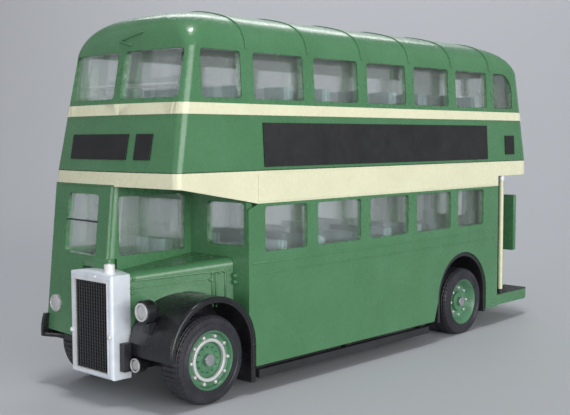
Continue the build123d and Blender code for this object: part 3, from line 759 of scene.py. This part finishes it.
fin_left, fin_right = MOUTH_LEFT + FIN_CLEARANCE, MOUTH_RIGHT - FIN_CLEARANCE
fin_pitch = (fin_right - fin_left) / FINS
fins = block("radiator_fins", (fin_left, CORE_FRONT, MOUTH_FOOT + FIN_CLEARANCE),
             (fin_right, CORE_BACK, MOUTH_HEAD - FIN_CLEARANCE))
edit(fins)
for half in range(2 * FINS):
    cut("X", fin_left + fin_pitch * half / 2)
choose("FACE", lambda face: face.normal.y < -0.9
       and (face.calc_center_median().x / MM - fin_left) / fin_pitch % 1 < 0.5)
bpy.ops.mesh.inset(thickness=0.02 * MM, depth=FIN_DEPTH * MM, use_individual=True)
leave()
fitted(fins, "radiator_mesh", instead=["radiator_core"])

mouth_frame = block("mouth", (MOUTH_LEFT - FRAME_LAP, RADIATOR_FACE - FRAME_PROUD, MOUTH_FOOT - FRAME_LAP),
                    (MOUTH_RIGHT + FRAME_LAP, RADIATOR_FACE + FRAME_SUNK, MOUTH_HEAD + FRAME_LAP))
trims = [pierced(mouth_frame, "Y", 0.16)]
for x, z, size in STUDS:
    trims.append(stud("stud", (x, STUD_Y, z), size))
trims.append(bar("header_line", (RADIATOR_X - HEADER_HALF, STUD_Y, HEADER_Z),
                 (RADIATOR_X + HEADER_HALF, STUD_Y, HEADER_Z), width=0.12, height=0.1, edge=0.03))
fitted(joined("radiator_trim", trims), "silver_white")

cap = disc("radiator_cap", CAP_PLACE, CAP_R, CAP_HEIGHT, "Z")
stepped(cap, facing("Z", 1), ((0.1, 0.1), (0.3, 0.0), (0.06, -0.1)))
fitted(cap, "silver_white", instead=["filler_cap"])

# Bonnet side: hinge line, framed panel, upright strakes and knobs, square to the bonnet's slope
BONNET_FRONT, BONNET_REAR = (4.62, -48.9), (11.5, -34.4)
STRAKES = (0.80, 0.835, 0.93)
STRAKE_FOOT, STRAKE_HEAD = 13.6, 18.9
BONNET_KNOBS = ((0.035, 18.7), (0.02, 17.3), (0.02, 16.6),
                (0.80, 18.9), (0.87, 19.0), (0.92, 19.1), (0.78, 17.9))
CAB_KNOBS = ((12.2, -34.4, 18.4), (12.2, -34.4, 17.4))


def along_bonnet(share, out):
    """Point on the bonnet's side in plan, a share of the way back, standing out from it."""
    front, rear = Vector(BONNET_FRONT), Vector(BONNET_REAR)
    way = rear - front
    square = Vector((way.y, -way.x)).normalized()
    return front + way * share + square * out


hinge = bar("hinge", (*along_bonnet(0.02, 0.06), 18.4), (*along_bonnet(0.98, 0.06), 19.3),
            width=0.3, height=0.28, edge=0.08)
panel_top = bar("panel_top", (*along_bonnet(0.05, 0.04), 17.3), (*along_bonnet(0.8, 0.04), 18.1),
                width=0.2, height=0.16, edge=0.04)
bonnet_trim = [hinge, panel_top]
for share in STRAKES:
    x, y = along_bonnet(share, 0.05)
    strake = bar("strake", (x, y, STRAKE_FOOT), (x, y, STRAKE_HEAD), width=0.3, height=0.3, edge=0.08)
    bonnet_trim.append(strake)
for share, z in BONNET_KNOBS:
    bonnet_trim.append(stud("knob", (*along_bonnet(share, 0.05), z), 0.26, "X", 1))
for place in CAB_KNOBS:
    bonnet_trim.append(stud("knob", place, 0.42, height=0.5))
fitted(joined("bonnet_trim", bonnet_trim), "enamel_green")

# Cab: bar across the windscreen, flush lamp and the apron that fills the recess under the windscreen
screen_bar = bar("screen_bar", (-11.1, -49.05, 26.95), (-2.1, -49.75, 26.95),
                 width=0.3, height=0.24, edge=0.05)
fitted(screen_bar, "chassis_black")
cab_lens = disc("cab_lens", (-12.4, -50.5, 13.4), 1.4, 0.7, "Y")
stepped(cab_lens, facing("Y", -1), ((0.16, 0.08), (0.05, -0.1), (0.4, 0.1), (0.5, 0.05)))
fitted(cab_lens, "lamp_glass", instead=["cab_headlamp"])
apron = bar("cab_apron", (-5.66, -49.56, 20.76), (1.62, -49.92, 20.76), width=1.1, height=1.5, edge=0.04)
fitted(apron, "enamel_green")

# Bezels of the headlamp and the fog lamp
HEADLAMP, FOG_LAMP = (8.9, -50.1, 14.4), (7.2, -50.1, 6.3)
headlamp_bezel = pierced(disc("bezel", HEADLAMP, 1.36, 0.5, "Y"), "Y", border=0.28)
fog_lamp_bezel = pierced(disc("bezel", FOG_LAMP, 1.05, 0.4, "Y", 24), "Y", border=0.18)
fitted(joined("lamp_bezels", [headlamp_bezel, fog_lamp_bezel]), "lamp_silver")

# Rolled lip along the outer edge of each front mudguard and down its rear leg
WING_Y, WING_Z, WING_OUT, WING_EDGE = -41.3, 7.75, 8.5, 14.72
WING_SIDES = 72
LIP_R = 0.36
LIP_CIRCLE = WING_OUT - 0.32
LIP_FOOT = WING_Z - 0.2
LEG_FOOT = 1.9

bpy.ops.object.select_all(action="DESELECT")
bpy.ops.mesh.primitive_torus_add(
    location=(WING_EDGE * MM, WING_Y * MM, WING_Z * MM), rotation=(0, math.pi / 2, 0),
    major_radius=LIP_CIRCLE * MM, minor_radius=LIP_R * MM, major_segments=WING_SIDES, minor_segments=12)
arch = settle(bpy.context.object, "arch")
edit(arch)
cut("Z", LIP_FOOT, keep=1)
leave()
leg_middle = (WING_EDGE, WING_Y + LIP_CIRCLE, (WING_Z + LEG_FOOT) / 2)
leg = disc("leg", leg_middle, LIP_R, WING_Z - LEG_FOOT, "Z", 12)
stepped(leg, facing("Z", -1), ((0.1, 0.08),))
near_lip = joined("wing_lip_nearside", [arch, leg])
far_lip = copied(near_lip, "wing_lip_offside", mirrored=True)
for lip in (near_lip, far_lip):
    fitted(lip, "wing_black", smooth=50)

# Inner part of the nearside front mudguard: carries its curve to the bonnet and closes it behind the lamp
FLARE_INNER, FLARE_OUTER, FLARE_FOOT, FLARE_WALL = 5.2, 10.9, 12.6, 0.8
flare_place = ((FLARE_INNER + FLARE_OUTER) / 2, WING_Y, WING_Z)
flare = disc("wing_flare_nearside", flare_place, WING_OUT + 0.02, FLARE_OUTER - FLARE_INNER, "X", WING_SIDES)
edit(flare)
choose("FACE", both_ends("X"))
bpy.ops.mesh.delete(type="FACE")
cut("Y", WING_Y, keep=-1, close=False)
cut("Z", FLARE_FOOT, keep=1, close=False)
leave()
thicken(flare, "shell", FLARE_WALL, -1.0)
fitted(flare, "wing_black")

# Lining that closes the nearside wheel arch towards the bonnet
LINING_X, LINING_WALL, LINING_FOOT = 8.35, 0.5, WING_Z + 0.4
LINING_R = WING_OUT - 0.7
lining = disc("wing_lining_nearside", (LINING_X, WING_Y, WING_Z), LINING_R, LINING_WALL, "X", WING_SIDES)
edit(lining)
cut("Z", LINING_FOOT, keep=1)
choose("FACE", both_ends("X"))
bpy.ops.mesh.bevel(offset=0.06 * MM, segments=2)
leave()
fitted(lining, "chassis_black")

# Tip of the offside mudguard, which curls round the corner of the cab's foot
TIP_BACK, TIP_HEAD, TIP_FOOT = -49.6, 11.5, 7.9
tip_plate = disc("tip_plate", (-14.85, -43.3, 8.6), WING_OUT, 0.6, "X", WING_SIDES)
edit(tip_plate)
cut("Y", TIP_BACK, keep=-1)
cut("Z", TIP_HEAD, keep=-1)
cut("Z", TIP_FOOT, keep=1)
leave()
tip_foot = bar("tip_foot", (-14.7, -51.3, 8.15), (-11.4, -49.3, 8.05), width=0.8, height=0.7, edge=0.1)
fitted(joined("wing_tip_offside", [tip_plate, tip_foot]), "wing_black", smooth=50)

# Upright panel that closes the rear wall beside the platform
PANEL_EDGE_X = 12.1
rear_panel = block("rear_panel", (8.7, 50.55, 14.8), (PANEL_EDGE_X, 51.65, 27.0))
edit(rear_panel)
choose("EDGE", lambda line: all(vertex.co.x > (PANEL_EDGE_X - 0.1) * MM for vertex in line.verts))
bpy.ops.mesh.bevel(offset=0.3 * MM, segments=3)
leave()
fitted(rear_panel, "enamel_green")

# Ventilator on the dome, a chevron of two arms
VENT_APEX = (-1.03, -45.63, 54.46)
VENT_ENDS = ((3.94, -45.10, 55.61), (2.05, -45.83, 53.65))
arms = [bar("arm", VENT_APEX, end, width=0.6, height=0.34, edge=0.14) for end in VENT_ENDS]
fitted(joined("dome_ventilator", arms), "enamel_green")

# Handrail behind the upper front windows
RAIL_HALF, RAIL_Y, RAIL_Z = 12.4, -43.2, 47.5
rail = bar("front_rail", (-RAIL_HALF, RAIL_Y, RAIL_Z), (RAIL_HALF, RAIL_Y, RAIL_Z),
           width=0.3, height=0.3, edge=0.1)
fitted(rail, "silver_white")

# Platform: ribbed mat on the deck, its outer rear corner rounded, and the socket and tip of its pole
MAT_INNER, MAT_OUTER, MAT_FRONT, MAT_REAR, MAT_FOOT, MAT_TOP = 9.3, 14.7, 39.3, 51.9, 6.55, 6.7
MAT_PITCH, MAT_RIBS = 0.6, 9
POLE_X, POLE_Y = 14.1, 41.6

mat = block("platform_mat", (MAT_INNER, MAT_FRONT, MAT_FOOT), (MAT_OUTER, MAT_REAR, MAT_TOP))
edit(mat)
for half in range(1, 2 * MAT_RIBS):
    cut("X", MAT_INNER + MAT_PITCH * half / 2)
choose("FACE", lambda face: face.normal.z > 0.9
       and (face.calc_center_median().x / MM - MAT_INNER) / MAT_PITCH % 1 < 0.5)
bpy.ops.mesh.inset(thickness=0.03 * MM, depth=0.08 * MM, use_individual=True)
choose("EDGE", lambda line: all(vertex.co.x > (MAT_OUTER - 0.1) * MM and vertex.co.y > (MAT_REAR - 0.1) * MM
                                for vertex in line.verts))
bpy.ops.mesh.bevel(offset=1.6 * MM, segments=6)
leave()
fitted(mat, "chassis_black")
socket = disc("pole_socket", (POLE_X, POLE_Y, 7.0), 0.75, 0.9, "Z", 24)
stepped(socket, facing("Z", 1), ((0.12, 0.1),))
fitted(socket, "chassis_black")
tip = disc("pole_tip", (POLE_X, POLE_Y, 31.0), 0.62, 1.0, "Z", 24)
stepped(tip, facing("Z", -1), ((0.06, 0.08),))
fitted(tip, "silver_white")

# Rear wall: tail lamps and a blank plate
TAIL_XS, TAIL_Y, TAIL_Z = (-12.6, 7.6), 51.8, 11.0
tails = [stud("tail", (x, TAIL_Y, TAIL_Z), 0.7, "Y", 1, 0.5) for x in TAIL_XS]
fitted(joined("tail_lamps", tails), "tail_red")
plate = block("rear_plate", (-6.0, 51.6, 9.6), (1.0, 52.0, 11.4))
stepped(plate, facing("Y", 1), ((0.15, 0.0), (0.05, -0.06)))
fitted(plate, "board_black")


# Floor, light and camera, in metres

CAMERA_PLACE = (117.262 * MM, -135.063 * MM, 39.571 * MM)
CAMERA_AZIMUTH = math.radians(43.177)
CAMERA_RISE = math.radians(4.18)
CAMERA_ROLL = math.radians(-0.22)
CAMERA_LENS = 59.74
CAMERA_SENSOR = 36.0
PAPER_SIZE, PAPER_RISE, PAPER_BEND, PAPER_SHIFT = 2.4, 1.6, 0.9, -0.3
PAPER_BACK = PAPER_SIZE / 2 - 0.1
ROOM_COLOUR, ROOM_STRENGTH = (0.62, 0.64, 0.68, 1.0), 0.55
AIM = (0, 0, 0.03)


def studio():
    """Pale paper that curves up behind the bus without a seam, painted darker to the left and low down as
    shade, and a dim even room.
    """
    bpy.ops.object.select_all(action="DESELECT")
    bpy.ops.mesh.primitive_plane_add(size=PAPER_SIZE)
    floor = settle(bpy.context.object, "floor")
    edit(floor)
    choose("EDGE", lambda line: all(vertex.co.y > PAPER_BACK for vertex in line.verts))
    bpy.ops.mesh.extrude_region_move(TRANSFORM_OT_translate={"value": (0, 0, PAPER_RISE)})
    choose("EDGE", lambda line: all(vertex.co.y > PAPER_BACK and vertex.co.z < 0.01 for vertex in line.verts))
    bpy.ops.mesh.bevel(offset=PAPER_BEND, segments=24)
    bpy.ops.mesh.select_all(action="SELECT")
    bpy.ops.mesh.normals_make_consistent(inside=True)
    bpy.ops.transform.translate(value=(0, PAPER_SHIFT, 0))
    bpy.ops.transform.rotate(value=-CAMERA_AZIMUTH, orient_axis="Z", center_override=(0, 0, 0))
    leave()
    bpy.ops.object.shade_smooth()
    shader = Shader("floor_paper", Roughness=0.7, Specular_IOR_Level=0.2)
    side = shader.math("ADD", shader.product(shader.axis("X"), math.cos(CAMERA_AZIMUTH)),
                       shader.product(shader.axis("Y"), math.sin(CAMERA_AZIMUTH)))
    height = shader.axis("Z")
    # Painted shade: the paper is darker to the left and near the floor, lighter higher up and to the right
    shaded_left = shader.mix(shader.ramp(height, 0.0, 0.45), (0.27, 0.255, 0.256), (0.50, 0.51, 0.53))
    right = shader.mix(shader.ramp(height, 0.0, 0.2), (0.43, 0.445, 0.47), (0.57, 0.59, 0.62))
    shader.colour(shader.mix(shader.ramp(side, -0.40, -0.06), shaded_left, right))
    floor.data.materials.append(shader.material)
    world = bpy.data.worlds.new("studio")
    world.use_nodes = True
    background = world.node_tree.nodes["Background"]
    background.inputs["Color"].default_value = ROOM_COLOUR
    background.inputs["Strength"].default_value = ROOM_STRENGTH
    bpy.context.scene.world = world


def lamp(name, place, size, power, colour=(1, 1, 1)):
    """Soft box that looks at the middle of the bus."""
    data = bpy.data.lights.new(name, "AREA")
    data.shape = "RECTANGLE"
    data.size, data.size_y = size
    data.energy = power
    data.color = colour
    soft_box = bpy.data.objects.new(name, data)
    bpy.context.collection.objects.link(soft_box)
    soft_box.location = place
    soft_box.rotation_euler = (Vector(AIM) - Vector(place)).to_track_quat("-Z", "Y").to_euler()


def camera():
    data = bpy.data.cameras.new("camera")
    data.lens = CAMERA_LENS
    data.sensor_width = CAMERA_SENSOR
    data.clip_start = 0.01
    view = bpy.data.objects.new("camera", data)
    bpy.context.collection.objects.link(view)
    back = Vector((math.sin(CAMERA_AZIMUTH) * math.cos(CAMERA_RISE),
                   -math.cos(CAMERA_AZIMUTH) * math.cos(CAMERA_RISE), math.sin(CAMERA_RISE)))
    turn = (-back).to_track_quat("-Z", "Y").to_matrix() @ Matrix.Rotation(CAMERA_ROLL, 3, "Z")
    view.rotation_euler = turn.to_euler()
    view.location = CAMERA_PLACE
    bpy.context.scene.camera = view


studio()
lamp("overhead", (0.05, -0.02, 0.65), (0.10, 0.10), 1.5)
lamp("side", (0.75, -0.18, 0.17), (0.95, 0.42), 6.1, (1.0, 1.0, 0.98))
lamp("front", (-0.05, -0.80, 0.07), (0.5, 0.25), 1.35)
lamp("back", (-0.55, 0.60, 0.40), (0.6, 0.5), 3.0)
camera()
bpy.context.scene.view_settings.view_transform = "Standard"
